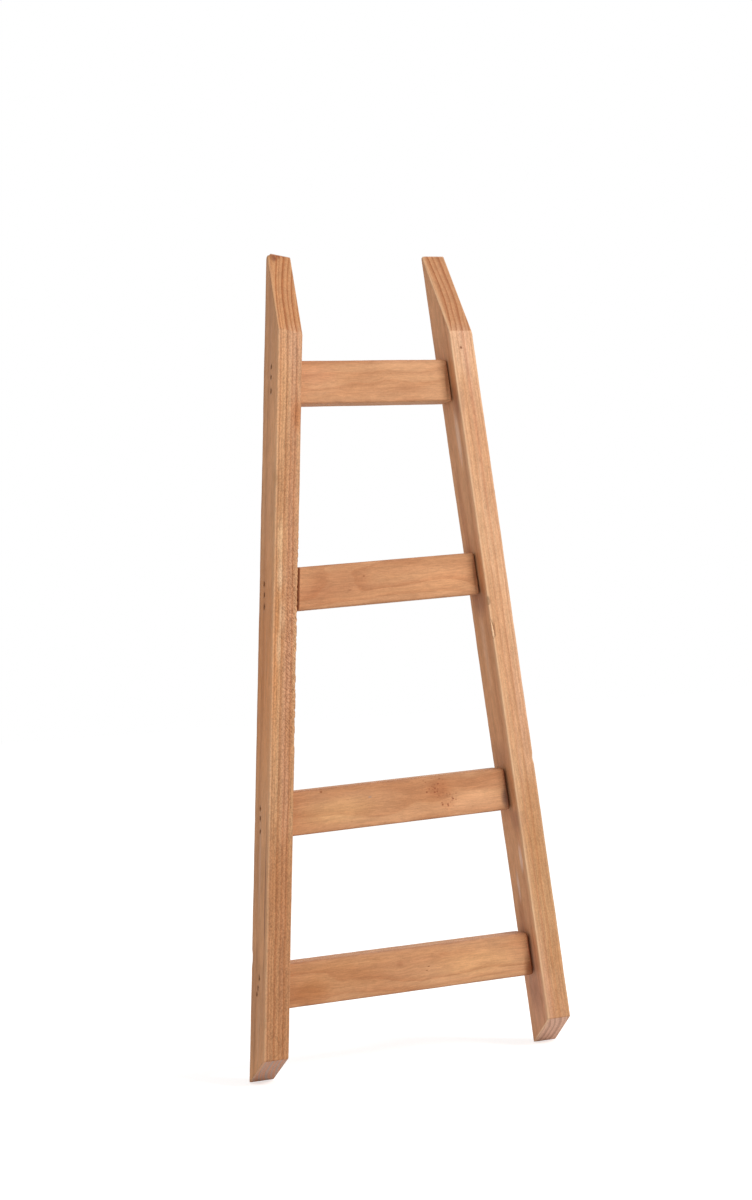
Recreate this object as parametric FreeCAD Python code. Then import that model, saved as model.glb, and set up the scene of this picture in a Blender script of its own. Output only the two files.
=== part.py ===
import FreeCAD, Part
import math
import os
from collections import namedtuple

from FreeCAD import Placement, Rotation, Vector

# A blanket ladder: two stiles that draw in towards the top, four rungs set on edge
# between them, and brads driven through the stiles into the rung ends.
# Millimetres. Z is up, X runs across the ladder and +Y is towards its back. The origin is
# on the floor, midway between the stiles and midway through their depth.

# Outline
FOOT_WIDTH = 500.0          # over the outsides of the stiles, at the floor
TOP_WIDTH = 290.0           # over the outsides of the stiles, at their tips

# Stiles
STILE_THICKNESS = 38.0
STILE_DEPTH = 64.0
STILE_ARRIS = 1.5           # radius on the long edges
TOP_BEVEL_LENGTH = 129.0    # from the tips down to where the bevel leaves the front
TIP_LAND = 2.0              # flat left on each tip, at the back
LEFT_FOOT_RISE = 40.0       # sole saw cut: front edge above back edge, left stile
RIGHT_FOOT_RISE = 45.0      # the same on the right stile
LEFT_TOP_SKEW = 6.5         # top saw cut: inner side below outer side, left stile
RIGHT_TOP_SKEW = 0.5        # the same on the right stile

# Rungs
RUNG_HEIGHT = 64.0
RUNG_THICKNESS = 38.0
RUNG_SETBACK = 20.0         # rung fronts behind the fronts of the stiles
RUNG_ARRIS = 2.0            # radius on the long edges
RELIEF_DEPTH = 15.0         # how far back the ends stand off the stiles

# Heights, from the floor up, between the edges of the rungs
FOOT_CLEARANCE = 109.0      # under the bottom rung
BOTTOM_GAP = 186.0          # bottom rung to lower rung
MIDDLE_GAP = 265.0          # lower rung to upper rung
TOP_GAP = 237.0             # upper rung to top rung
HORN_LENGTH = 169.0         # top rung to the tips of the stiles

# Brads: T-headed wire nails, set below the surface in torn, open pockets
BRAD_LENGTH = 57.0
BRAD_WIRE = 1.6
BRAD_HEAD_LENGTH = 4.2
BRAD_HEAD_THICKNESS = 1.2
BRAD_POINT = 3.0
BRAD_SET = 2.5              # top of the head below the face of the stile
POCKET_LENGTH = 5.0
POCKET_WIDTH = 2.8

LEFT = -1
RIGHT = 1
SIDES = {"left": LEFT, "right": RIGHT}
TOP_SKEW = {LEFT: LEFT_TOP_SKEW, RIGHT: RIGHT_TOP_SKEW}
FOOT_RISE = {LEFT: LEFT_FOOT_RISE, RIGHT: RIGHT_FOOT_RISE}

# One rung: middle is the height of its centre, tilt the degrees by which its right end
# rises and relief its stand-off from each stile at its front face. brads places three
# brads an end: share of the rung's height above its middle, share of its thickness
# behind its front face.
Rung = namedtuple("Rung", "name middle tilt relief brads")

BOTTOM_MIDDLE = FOOT_CLEARANCE + RUNG_HEIGHT / 2
LOWER_MIDDLE = BOTTOM_MIDDLE + RUNG_HEIGHT + BOTTOM_GAP
UPPER_MIDDLE = LOWER_MIDDLE + RUNG_HEIGHT + MIDDLE_GAP
TOP_MIDDLE = UPPER_MIDDLE + RUNG_HEIGHT + TOP_GAP
HEIGHT = TOP_MIDDLE + RUNG_HEIGHT / 2 + HORN_LENGTH

RUNGS = (
    Rung("bottom_rung", BOTTOM_MIDDLE, tilt=0.5, relief={LEFT: 3.0, RIGHT: 1.5},
         brads=((0.19, 0.22), (-0.03, 0.34), (-0.18, 0.44))),
    Rung("lower_rung", LOWER_MIDDLE, tilt=1.5, relief={LEFT: 3.5, RIGHT: 1.5},
         brads=((0.12, 0.50), (-0.10, 0.48), (-0.40, 0.44))),
    Rung("upper_rung", UPPER_MIDDLE, tilt=2.3, relief={LEFT: 8.5, RIGHT: 2.2},
         brads=((0.12, 0.57), (-0.13, 0.53), (-0.41, 0.52))),
    Rung("top_rung", TOP_MIDDLE, tilt=0.5, relief={LEFT: 2.2, RIGHT: 1.0},
         brads=((0.33, 0.24), (0.09, 0.25), (-0.23, 0.23))),
)

TAPER = math.atan2((FOOT_WIDTH - TOP_WIDTH) / 2, HEIGHT)
FRONT = -STILE_DEPTH / 2
BACK = STILE_DEPTH / 2
BIG = 2 * (HEIGHT + FOOT_WIDTH)     # larger than the ladder, for cutting tools


def stile_point(side, along, outward, depth):
    """A point given along the outer face from the floor, out from it and back from the front."""
    across = FOOT_WIDTH / 2 - along * math.sin(TAPER) + outward * math.cos(TAPER)
    height = along * math.cos(TAPER) + outward * math.sin(TAPER)
    return Vector(side * across, FRONT + depth, height)


def lean_with_stile(shape, side, point):
    """Turn a shape that was made upright at the origin to a stile's slope, and move it to a point."""
    shape.Placement = Placement(point, Rotation(Vector(0, 1, 0), -side * math.degrees(TAPER)))
    return shape


def cut_beyond(shape, point, second, third, away_from):
    """Cut a shape back to the plane through three points, on the side that faces away from a point."""
    normal = (second - point).cross(third - point)
    if normal.dot(away_from - point) > 0:
        normal = -normal
    tool = Part.makeBox(BIG, BIG, BIG, Vector(-BIG / 2, -BIG / 2, 0))
    tool.Placement = Placement(point, Rotation(Vector(0, 0, 1), normal))
    return shape.cut(tool)


def eased_bar(box, direction, radius):
    """Round the long edges of a box, which run in a direction."""
    long_edges = [e for e in box.Edges if e.tangentAt(e.FirstParameter).cross(direction).Length < 1e-6]
    return box.makeFillet(radius, long_edges)


def stile_blank(side):
    """A stile before its ends are sawn, longer than it needs to be at both ends."""
    spare = STILE_DEPTH
    corner = Vector(-STILE_THICKNESS if side == RIGHT else 0, FRONT, -spare)
    length = HEIGHT / math.cos(TAPER) + 2 * spare
    box = Part.makeBox(STILE_THICKNESS, STILE_DEPTH, length, corner)
    bar = eased_bar(box, Vector(0, 0, 1), STILE_ARRIS)
    return lean_with_stile(bar, side, Vector(side * FOOT_WIDTH / 2, 0, 0))


def saw_top(stile, side):
    """The land on the tip, and the long bevel from it down to the front of the stile."""
    middle = Vector(0, 0, HEIGHT / 2)
    outer = side * TOP_WIDTH / 2
    inner = outer - side * STILE_THICKNESS
    land = BACK - TIP_LAND
    low = HEIGHT - TOP_SKEW[side]
    tip = Vector(outer, land, HEIGHT)
    inner_tip = Vector(inner, land, low)
    back_tip = Vector(outer, BACK, HEIGHT)
    heel = Vector(outer, FRONT, HEIGHT - TOP_BEVEL_LENGTH)
    landed = cut_beyond(stile, tip, inner_tip, back_tip, middle)
    return cut_beyond(landed, tip, inner_tip, heel, middle)


def saw_foot(stile, side):
    """The sole, level across the ladder and rising towards the front."""
    back_edge = Vector(0, BACK, 0)
    beside = Vector(FOOT_WIDTH, BACK, 0)
    front_edge = Vector(0, FRONT, FOOT_RISE[side])
    return cut_beyond(stile, back_edge, beside, front_edge, Vector(0, 0, HEIGHT))


def rung_blank(rung):
    """A rung before its ends are sawn, as long as the ladder is wide."""
    front = FRONT + RUNG_SETBACK
    corner = Vector(-FOOT_WIDTH / 2, front, -RUNG_HEIGHT / 2)
    box = Part.makeBox(FOOT_WIDTH, RUNG_THICKNESS, RUNG_HEIGHT, corner)
    bar = eased_bar(box, Vector(1, 0, 0), RUNG_ARRIS)
    bar.Placement = Placement(Vector(0, 0, rung.middle), Rotation(Vector(0, 1, 0), -rung.tilt))
    return bar


def saw_rung_end(bar, rung, side):
    """A bearing face flat on the stile, and in front of it a face that stands off the stile."""
    centre = Vector(0, 0, rung.middle)
    inner = -STILE_THICKNESS
    back = RUNG_SETBACK + RUNG_THICKNESS
    turn = RUNG_SETBACK + RELIEF_DEPTH
    low = stile_point(side, 0, inner, turn)
    high = stile_point(side, HEIGHT, inner, turn)
    bearing = cut_beyond(bar, low, high, stile_point(side, 0, inner, back), centre)
    off = stile_point(side, 0, inner - rung.relief[side], RUNG_SETBACK)
    return cut_beyond(bearing, low, high, off, centre)


def brad_places(rung, side):
    """Where the brads of one joint enter the outer face of the stile."""
    places = []
    for height_share, depth_share in rung.brads:
        depth = RUNG_SETBACK + depth_share * RUNG_THICKNESS
        along = (rung.middle + STILE_THICKNESS * math.sin(TAPER)) / math.cos(TAPER)
        reach = stile_point(side, along, -STILE_THICKNESS, depth).x
        end_rise = reach * math.tan(math.radians(rung.tilt))
        shift = (end_rise + height_share * RUNG_HEIGHT) / math.cos(TAPER)
        places.append(stile_point(side, along + shift, 0, depth))
    return places


def brad_solid(side, place):
    """One brad: T head, square wire and chisel point, all of one thickness."""
    head = BRAD_SET + BRAD_HEAD_THICKNESS
    tip = BRAD_SET + BRAD_LENGTH
    half_head = BRAD_HEAD_LENGTH / 2
    half_wire = BRAD_WIRE / 2
    shoulder = tip - BRAD_POINT
    upper = [(BRAD_SET, half_head), (head, half_head), (head, half_wire), (shoulder, half_wire)]
    lower = [(depth, -up) for depth, up in reversed(upper)]
    outline = upper + [(tip, 0.0)] + lower
    points = [Vector(-side * depth, -half_wire, up) for depth, up in outline]
    face = Part.Face(Part.makePolygon(points + points[:1]))
    brad = face.extrude(Vector(0, BRAD_WIRE, 0))
    return lean_with_stile(brad, side, place)


def brad_pocket(side, place):
    """The open hole that is left over the head of a brad."""
    corner = Vector(-BRAD_SET if side == RIGHT else 0, -POCKET_WIDTH / 2, -POCKET_LENGTH / 2)
    pocket = Part.makeBox(BRAD_SET, POCKET_WIDTH, POCKET_LENGTH, corner)
    return lean_with_stile(pocket, side, place)


def build():
    """Every piece of the ladder, by the name of its node."""
    pieces = {}
    for rung in RUNGS:
        bar = rung_blank(rung)
        for side in (LEFT, RIGHT):
            bar = saw_rung_end(bar, rung, side)
        pieces[rung.name] = bar
    for word, side in SIDES.items():
        stile = saw_foot(saw_top(stile_blank(side), side), side)
        for rung in RUNGS:
            places = brad_places(rung, side)
            brads = [brad_solid(side, place) for place in places]
            stile = stile.cut(brads + [brad_pocket(side, place) for place in places])
            pieces[rung.name] = pieces[rung.name].cut(brads)
            pieces[f"{rung.name}_{word}_brads"] = Part.makeCompound(brads)
        pieces[f"{word}_stile"] = stile
    return pieces


def main():
    os.makedirs("parts", exist_ok=True)
    for name, shape in build().items():
        shape.exportStep(f"parts/{name}.step")
        box = shape.BoundBox
        print(f"{name}: {len(shape.Solids)} solid(s), {shape.Volume / 1000:.1f} cm3,",
              f"x {box.XMin:.1f} to {box.XMax:.1f}, y {box.YMin:.1f} to {box.YMax:.1f},",
              f"z {box.ZMin:.1f} to {box.ZMax:.1f}, valid {shape.isValid()}")


main()
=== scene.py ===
import math
from collections import namedtuple

import bpy
import numpy as np
from mathutils import Matrix, Vector


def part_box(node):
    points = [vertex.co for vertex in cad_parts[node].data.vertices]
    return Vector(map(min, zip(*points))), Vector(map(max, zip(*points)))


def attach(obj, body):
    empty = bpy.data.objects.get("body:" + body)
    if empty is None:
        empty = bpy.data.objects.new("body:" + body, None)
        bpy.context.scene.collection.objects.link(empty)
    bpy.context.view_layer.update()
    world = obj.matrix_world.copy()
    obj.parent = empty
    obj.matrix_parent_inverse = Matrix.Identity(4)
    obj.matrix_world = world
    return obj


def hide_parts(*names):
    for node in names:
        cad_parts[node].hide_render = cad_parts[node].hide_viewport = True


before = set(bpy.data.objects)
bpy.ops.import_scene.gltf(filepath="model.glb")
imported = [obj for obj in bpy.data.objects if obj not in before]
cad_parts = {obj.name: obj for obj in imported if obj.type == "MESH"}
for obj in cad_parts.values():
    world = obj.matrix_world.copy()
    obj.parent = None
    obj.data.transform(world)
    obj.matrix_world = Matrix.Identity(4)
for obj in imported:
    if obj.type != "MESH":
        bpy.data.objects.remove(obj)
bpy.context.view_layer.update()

# A blanket ladder of stained pine. Metres, with Z up, X from the left stile to the right one
# and +Y towards the back. Inside a board, places are given along its grain, across its
# thickness and across its width, from the middle of its section.
MM = 0.001

STILES = ("left_stile", "right_stile")
RUNGS = ("bottom_rung", "lower_rung", "upper_rung", "top_rung")
BOARDS = STILES + RUNGS
SIDES = ("left", "right")
UP = np.array((0.0, 0.0, 1.0))
RIGHTWARDS = np.array((1.0, 0.0, 0.0))
FORWARDS = np.array((0.0, -1.0, 0.0))
LOW, HIGH = -1, 1


# ---------------------------------------------------------------- boards, as the frame has them

Plane = namedtuple("Plane", "normal offset area")
Board = namedtuple("Board", "node along thick wide middle half planes")

SAME_PLANE = 0.9999         # cosine between two faces of one plane
FLATNESS = 0.02 * MM
END_LEAN = 0.2              # least cosine between the grain and a sawn face


def corners_of(node):
    """The corners of a node's mesh, one a row."""
    return np.array([v.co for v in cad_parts[node].data.vertices])


def bounding_planes(node):
    """The flat faces that the whole of a node lies behind, the largest first."""
    corners = corners_of(node)
    found = []
    for face in sorted(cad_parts[node].data.polygons, key=lambda face: -face.area):
        normal = np.array(face.normal)
        offset = corners[face.vertices[0]] @ normal
        if (corners @ normal).max() > offset + FLATNESS:
            continue
        same = [i for i, p in enumerate(found) if p.normal @ normal > SAME_PLANE]
        if same:
            known = found[same[0]]
            found[same[0]] = known._replace(area=known.area + face.area)
        else:
            found.append(Plane(normal, offset, face.area))
    return sorted(found, key=lambda p: -p.area)


def read_board(node, along_hint, face_hint):
    """A board's directions, size and sawn ends: thick crosses its wide faces, wide its edges."""
    planes = bounding_planes(node)
    thick = planes[0].normal
    thick = thick * math.copysign(1.0, thick @ face_hint)
    edge = next(p.normal for p in planes if abs(p.normal @ thick) < 1 - SAME_PLANE)
    along = np.cross(thick, edge)
    along = along * math.copysign(1.0, along @ along_hint) / np.linalg.norm(along)
    wide = np.cross(along, thick)
    corners = corners_of(node)
    reach = np.array([(corners @ d).max() for d in (thick, wide)])
    start = np.array([(corners @ d).min() for d in (thick, wide)])
    ends = [p for p in planes if abs(p.normal @ along) > END_LEAN]
    return Board(node, along, thick, wide, (reach + start) / 2, (reach - start) / 2, ends)


def to_world(board, places):
    """Places in a board, one a row as along, thick and wide, in the ladder's own axes."""
    thick = places[:, 1] + board.middle[0]
    wide = places[:, 2] + board.middle[1]
    parts = ((places[:, 0], board.along), (thick, board.thick), (wide, board.wide))
    return sum(np.outer(amount, direction) for amount, direction in parts)


def to_board(board, points):
    """The other way: points in the ladder's axes as places in a board."""
    points = np.atleast_2d(points)
    columns = (points @ board.along, points @ board.thick - board.middle[0],
               points @ board.wide - board.middle[1])
    return np.stack(columns, axis=1)


boards = {name: read_board(name, UP, -RIGHTWARDS) for name in STILES}
boards.update({name: read_board(name, RIGHTWARDS, FORWARDS) for name in RUNGS})


# ---------------------------------------------------------------- what hand work left on them

# Marks are listed by board, in the ladder's own axes, on the surface that shows them.
STILE_FRONT, STILE_BACK = (corner[1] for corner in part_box("left_stile"))
RUNG_FRONT, RUNG_BACK = (corner[1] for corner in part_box("top_rung"))

ARRIS = {name: 1.5 * MM for name in STILES}
ARRIS.update({name: 3.0 * MM for name in RUNGS})
SAWN_ARRIS = 1.2 * MM
SOFT_ENDS = {
    "left_stile": {LOW: 2.0 * MM, HIGH: 2.0 * MM},
    "right_stile": {HIGH: 2.0 * MM},
    "top_rung": {HIGH: 4.0 * MM},
    "upper_rung": {HIGH: 3.5 * MM},
    "lower_rung": {HIGH: 7.0 * MM},
    "bottom_rung": {HIGH: 8.0 * MM},
}

# How far a tip is broken off at its back corner, and how its break is torn.
TIP_BREAKS = {"left_stile": 7.0 * MM, "right_stile": 4.0 * MM}
TIP_TEAR = (2.5 * MM, 4.0 * MM)
TIP_TEAR_SHARE = 0.35
TIP_SEED = 71

# A knock has a depth, and a lifted fibre a depth below nothing.
Nick = namedtuple("Nick", "point length depth")
NICK_REACH = 4.5 * MM
NICK_STEPS = 5
NICK_WEAR = 0.8
NICKS = {
    "bottom_rung": (
        Nick((0.0472, RUNG_FRONT, 0.1795), 3.0 * MM, -0.8 * MM),
        Nick((0.0190, RUNG_FRONT, 0.1780), 7.0 * MM, 0.7 * MM),
    ),
    "lower_rung": (
        Nick((0.0580, RUNG_FRONT, 0.4250), 2.5 * MM, -0.5 * MM),
        Nick((-0.1290, RUNG_FRONT, 0.4200), 4.0 * MM, 0.8 * MM),
    ),
    "upper_rung": (
        Nick((0.0900, RUNG_FRONT, 0.6900), 9.0 * MM, 0.6 * MM),
    ),
    "top_rung": (
        Nick((-0.0650, RUNG_FRONT, 0.9890), 12.0 * MM, 0.8 * MM),
        Nick((0.0450, RUNG_BACK, 1.0530), 8.0 * MM, 0.9 * MM),
    ),
    "left_stile": (
        Nick((-0.1748, STILE_FRONT, 0.8747), 12.0 * MM, 1.2 * MM),
        Nick((-0.2420, STILE_FRONT, 0.0900), 9.0 * MM, 0.9 * MM),
        Nick((-0.2350, STILE_BACK, 0.1800), 16.0 * MM, 1.0 * MM),
    ),
    "right_stile": (
        Nick((0.1425, STILE_FRONT, 0.7800), 7.0 * MM, 0.9 * MM),
        Nick((0.2120, STILE_FRONT, 0.4400), 10.0 * MM, 0.8 * MM),
        Nick((0.1900, STILE_BACK, 0.7000), 14.0 * MM, 1.1 * MM),
    ),
}

# Grain that the plane tore on the front of the left stile, and the places where splinters came
# off the inner arris of the right one. low and high are places along the grain.
Tear = namedtuple("Tear", "low high depth")
TEARS = {
    "left_stile": (Tear(0.440, 0.790, 0.55 * MM),),
}
SPLINTERS = {
    "right_stile": (Tear(0.608, 0.639, 2.8 * MM), Tear(0.660, 0.674, 1.7 * MM)),
}


# ---------------------------------------------------------------- smooth unevenness, seeded

LINE_KNOTS = 4096           # random levels before a line of them repeats
SURFACE_KNOTS = 256         # and before a surface of them does, each way


def wobble(places, pitch, seed):
    """Smooth ups and downs between -1 and 1 along a line, about one to a pitch."""
    knots = np.random.default_rng(seed).uniform(-1, 1, LINE_KNOTS)
    steps = places / pitch + LINE_KNOTS / 4
    whole = np.floor(steps).astype(int)
    part = steps - whole
    part = part * part * (3 - 2 * part)
    return knots[whole % LINE_KNOTS] * (1 - part) + knots[(whole + 1) % LINE_KNOTS] * part


def roughness(across, along, pitch, seed):
    """The same over a surface."""
    knots = np.random.default_rng(seed).uniform(-1, 1, (SURFACE_KNOTS, SURFACE_KNOTS))
    u = across / pitch[0] + SURFACE_KNOTS / 4
    v = along / pitch[1] + SURFACE_KNOTS / 4
    i, j = np.floor(u).astype(int), np.floor(v).astype(int)
    s, t = u - i, v - j
    s, t = s * s * (3 - 2 * s), t * t * (3 - 2 * t)
    i0, i1, j0, j1 = (place % SURFACE_KNOTS for place in (i, i + 1, j, j + 1))
    near = knots[i0, j0] * (1 - s) + knots[i1, j0] * s
    far = knots[i0, j1] * (1 - s) + knots[i1, j1] * s
    return near * (1 - t) + far * t


def bump(distance):
    """1 at no distance, falling smoothly to 0 at a distance of 1."""
    rest = np.clip(1 - distance, 0, 1)
    return rest * rest * (3 - 2 * rest)


# ---------------------------------------------------------------- the section of a board

ARC_HALF = 3                # steps from the middle of a rounded arris to its face
Section = namedtuple("Section", "base pull corner columns rows")


def side_points(lines, half):
    """One side of a section: half an arris, the lines on the face and half an arris again.

    Each point is its place along the side, its share of the arris radius along the side and
    towards the side's inside, and which of the two arrises it is on."""
    points = []
    for step in range(ARC_HALF + 1):
        angle = math.radians(45 + 45 * step / ARC_HALF)
        points.append((-half, 1 - math.cos(angle), 1 - math.sin(angle), 0))
    points += [(line, 0.0, 0.0, 0) for line in lines]
    for step in range(ARC_HALF + 1):
        angle = math.radians(90 - 45 * step / ARC_HALF)
        points.append((half, math.cos(angle) - 1, 1 - math.sin(angle), 1))
    return points


def make_section(half, thick_lines, wide_lines):
    """The outline of a board's section, once round, for any radius on each of its arrises."""
    thick_side = side_points(thick_lines, half[0])
    wide_side = side_points(wide_lines, half[1])
    base, pull, corner = [], [], []

    def add(place, pull_along, pull_in, index, along_thick, far):
        level = half[1 if along_thick else 0] * (1 if far else -1)
        inward_pull = pull_in * (-1 if far else 1)
        pair = (place, level) if along_thick else (level, place)
        pulls = (pull_along, inward_pull) if along_thick else (inward_pull, pull_along)
        base.append(pair)
        pull.append(pulls)
        corner.append(index)

    last_column, last_row = len(thick_side) - 1, len(wide_side) - 1
    for i in range(last_column + 1):
        place, along_pull, in_pull, end = thick_side[i]
        add(place, along_pull, in_pull, end, True, False)
    for j in range(1, last_row + 1):
        place, along_pull, in_pull, end = wide_side[j]
        add(place, along_pull, in_pull, 1 + 2 * end, False, True)
    for i in range(last_column - 1, -1, -1):
        place, along_pull, in_pull, end = thick_side[i]
        add(place, along_pull, in_pull, 2 + end, True, True)
    for j in range(last_row - 1, 0, -1):
        place, along_pull, in_pull, end = wide_side[j]
        add(place, along_pull, in_pull, 2 * end, False, False)
    return Section(np.array(base), np.array(pull), np.array(corner), last_column, last_row)


def outline(section, radii):
    """Places round the section, a row for each row of four arris radii."""
    radius = radii[:, section.corner][:, :, None]
    return section.base[None] + section.pull[None] * radius


def cap_grid(section, ring):
    """Places all over a section whose outline is ring, on its columns and rows."""
    columns, rows = section.columns, section.rows
    near, right = ring[:columns + 1], ring[columns:columns + rows + 1]
    far = ring[columns + rows:2 * columns + rows + 1][::-1]
    left = np.vstack([ring[2 * columns + rows:], ring[:1]])[::-1]
    s = ((near[:, :1] - near[0, 0]) / (near[-1, 0] - near[0, 0]))
    t = ((left[:, 1:] - left[0, 1]) / (left[-1, 1] - left[0, 1]))
    s, t = s[:, None], t[None]
    ruled = near[:, None] * (1 - t) + far[:, None] * t + left[None] * (1 - s) + right[None] * s
    twist = (near[0] * (1 - s) * (1 - t) + near[-1] * s * (1 - t)
             + far[0] * (1 - s) * t + far[-1] * s * t)
    return ruled - twist


def depth_inside(board, radius, section_places):
    """How deep inside the outline of a section its places lie."""
    past = np.abs(section_places) - (board.half - radius)
    outside = np.linalg.norm(np.maximum(past, 0), axis=-1)
    return np.maximum(radius - outside - np.minimum(past.max(axis=-1), 0), 0)


def sawn_height(board, end, section_places, easing):
    """Where along the grain a board's end lies, over its section, with its arrises eased."""
    depth = depth_inside(board, ARRIS[board.node], section_places)
    heights = []
    for plane in board.planes:
        slope = plane.normal @ board.along * end
        if slope < 0:
            continue
        across = np.array((plane.normal @ board.thick, plane.normal @ board.wide))
        level = plane.offset - across @ board.middle - section_places @ across
        gap = np.clip(1 - depth / easing, 0, 1)
        eased = easing * (1 - np.sqrt(1 - gap * gap))
        heights.append((level - eased) / slope)
    height = np.min(heights, axis=0)
    if board.node in TIP_BREAKS and end == HIGH:
        reach = TIP_BREAKS[board.node]
        away = np.linalg.norm(section_places - board.half * (1, -1), axis=-1)
        torn = roughness(section_places[..., 0], section_places[..., 1], TIP_TEAR, TIP_SEED)
        height = height - reach * bump(away / reach / (1 + TIP_TEAR_SHARE * torn))
    return end * height


# ---------------------------------------------------------------- where a board's mesh has points

STATION_PITCH = 6.0 * MM
FINE_PITCH = 0.75 * MM
TORN_PITCH = 1.1 * MM
TORN_MARGIN = 10.0 * MM
END_STATIONS = 12
END_CROWDING = 1.4          # how much closer the stations lie towards a sawn end
END_MARGIN = 8.0 * MM
THICK_PITCH = 3.0 * MM
TORN_THICK_PITCH = 1.2 * MM
WIDE_PITCH = 4.5 * MM
ARRIS_CLEARANCE = 2.1       # arris radii between an edge and the first line on a face
ON_THE_EDGE = 1e-9

HEAD_SEARCH = 3.0 * MM      # how deep the head of a brad can be
HEAD_GAP = 2.0 * MM         # along the grain, between the corners of two heads
POCKET_LENGTH = 7.4 * MM
POCKET_WIDTH = 5.6 * MM
POCKET_DEPTH = 2.6 * MM
POCKET_WALL = 0.34          # share of the pocket's half size that its walls lean over
POCKET_CLEARANCE = 0.95     # pocket widths with fine lines, each side of a brad


def stations(low, high, windows):
    """Places along the grain between two, closer together in the windows given."""
    places = set(np.round(np.linspace(low, high, int((high - low) / STATION_PITCH) + 1), 6))
    for start, stop, pitch in windows:
        start, stop = max(start, low), min(stop, high)
        places = {p for p in places if not start < p < stop}
        places.update(np.round(np.linspace(start, stop, int((stop - start) / pitch) + 2), 6))
    return np.array(sorted(places))


def brad_places(side, rung, board):
    """Where a joint's brads enter the stile: the middle of each head."""
    heads = []
    points = to_board(board, corners_of(f"{rung}_{side}_brads"))
    outer = -np.sign(points[:, 1].mean())
    top = (points[:, 1] * outer).max()
    points = points[points[:, 1] * outer > top - HEAD_SEARCH]
    points = points[np.argsort(points[:, 0])]
    groups = np.split(points, np.where(np.diff(points[:, 0]) > HEAD_GAP)[0] + 1)
    for group in groups:
        middle = (group.min(axis=0) + group.max(axis=0)) / 2
        heads.append((middle[0], middle[2], outer))
    return heads


pockets = {}
for stile, side in zip(STILES, SIDES):
    pockets[stile] = [h for rung in RUNGS for h in brad_places(side, rung, boards[stile])]


def windows_of(board):
    """Where along a board its marks need finer steps."""
    windows = []
    for along, _, _ in pockets.get(board.node, ()):
        windows.append((along - POCKET_LENGTH, along + POCKET_LENGTH, FINE_PITCH))
    for tear in TEARS.get(board.node, ()) + SPLINTERS.get(board.node, ()):
        windows.append((tear.low - TORN_MARGIN, tear.high + TORN_MARGIN, TORN_PITCH))
    for nick in NICKS.get(board.node, ()):
        along = to_board(board, np.array(nick.point))[0, 0]
        windows.append((along - nick.length, along + nick.length, nick.length / NICK_STEPS))
    return windows


def face_lines(half, fine, pitch, arris):
    """Lines along one face of a board: evenly spaced, with finer ones where they are needed."""
    edge = half - ARRIS_CLEARANCE * arris
    lines = set(np.round(np.linspace(-edge, edge, max(2, int(2 * edge / pitch))), 6))
    for middle, reach, step in fine:
        lines = {p for p in lines if abs(p - middle) > reach}
        lines.update(np.round(np.arange(middle - reach, middle + reach + step / 2, step), 6))
    return sorted(p for p in lines if abs(p) <= edge + ON_THE_EDGE)


def merged(fine):
    """Joins the fine stretches that overlap."""
    stretches = sorted((middle - reach, middle + reach, step) for middle, reach, step in fine)
    joined = []
    for start, stop, step in stretches:
        if joined and start < joined[-1][1]:
            joined[-1][1] = max(joined[-1][1], stop)
        else:
            joined.append([start, stop, step])
    return [((a + b) / 2, (b - a) / 2, step) for a, b, step in joined]


# ---------------------------------------------------------------- marks of hand work and use

WEAR, DIRT, TORN = 0, 1, 2  # columns of the marks
SKIN = 0.2 * MM             # what still counts as a board's wide face
SAWN_SKIN = 1.5 * MM        # and as one of its sawn ends
WEAR_REACH = {name: 5.0 * MM for name in STILES}
WEAR_REACH.update({name: 4.2 * MM for name in RUNGS})
OTHER_ARRIS_WEAR = 0.25

POCKET_UNEVENNESS = 0.25
BRUISE_REACH = 1.7          # half pockets, from the middle of one to the end of its bruise
BRUISE_SHARE = 0.5
PLACE_TO_SEED = 1e4

TORN_SKIN = 1.2 * MM
TORN_NARROWING = 0.9        # below 1, so the patch runs on a little past its two ends
TORN_MIDDLE = 0.6           # how torn the front is in its middle
TORN_FALL = 1.3             # and how fast that falls towards its outer arris
PIT_PITCH = (1.0 * MM, 2.2 * MM)
PIT_SEED = 96
RAGGED_DEPTH = 2.1 * MM
RAGGED_REACH = 4.0 * MM
RAGGED_PITCH = 3.2 * MM
RAGGED_SEED = 97
RAGGED_BIAS = 0.2

GROOVE_REACH = 4.2 * MM
GROOVE_SLANT = 0.6          # how much shallower a splinter's groove is on the front
GROOVE_DIRT = 1.3
GROOVE_RISES = (6, 2.5)     # how steeply a groove deepens from its low end and its high one

HOLLOW_DEPTH = 0.12 * MM
HOLLOW_PITCH = 70.0 * MM
HOLLOW_SEEDS = {name: 31 * i + 1 for i, name in enumerate(BOARDS)}


def rub_arrises(board, places, marks):
    """Wear along the arrises: most on the one that hands reach, and on a rung's alike."""
    depth = board.half - np.abs(places[:, 1:])
    less = 1.0 if board.node in RUNGS else OTHER_ARRIS_WEAR
    handled = places[:, 1] > 0
    near = np.clip(1 - np.hypot(depth[:, 0], depth[:, 1]) / WEAR_REACH[board.node], 0, 1)
    marks[:, WEAR] = near * np.where(handled & (places[:, 2] > 0), 1.0, less)
    beside = np.clip(1 - depth[:, 0] / WEAR_REACH[board.node], 0, 1) * np.where(handled, 1.0, less)
    for plane in board.planes:
        gap = plane.offset - to_world(board, places) @ plane.normal
        marks[:, WEAR] = np.maximum(marks[:, WEAR], beside * bump(gap / SAWN_SKIN))


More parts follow.
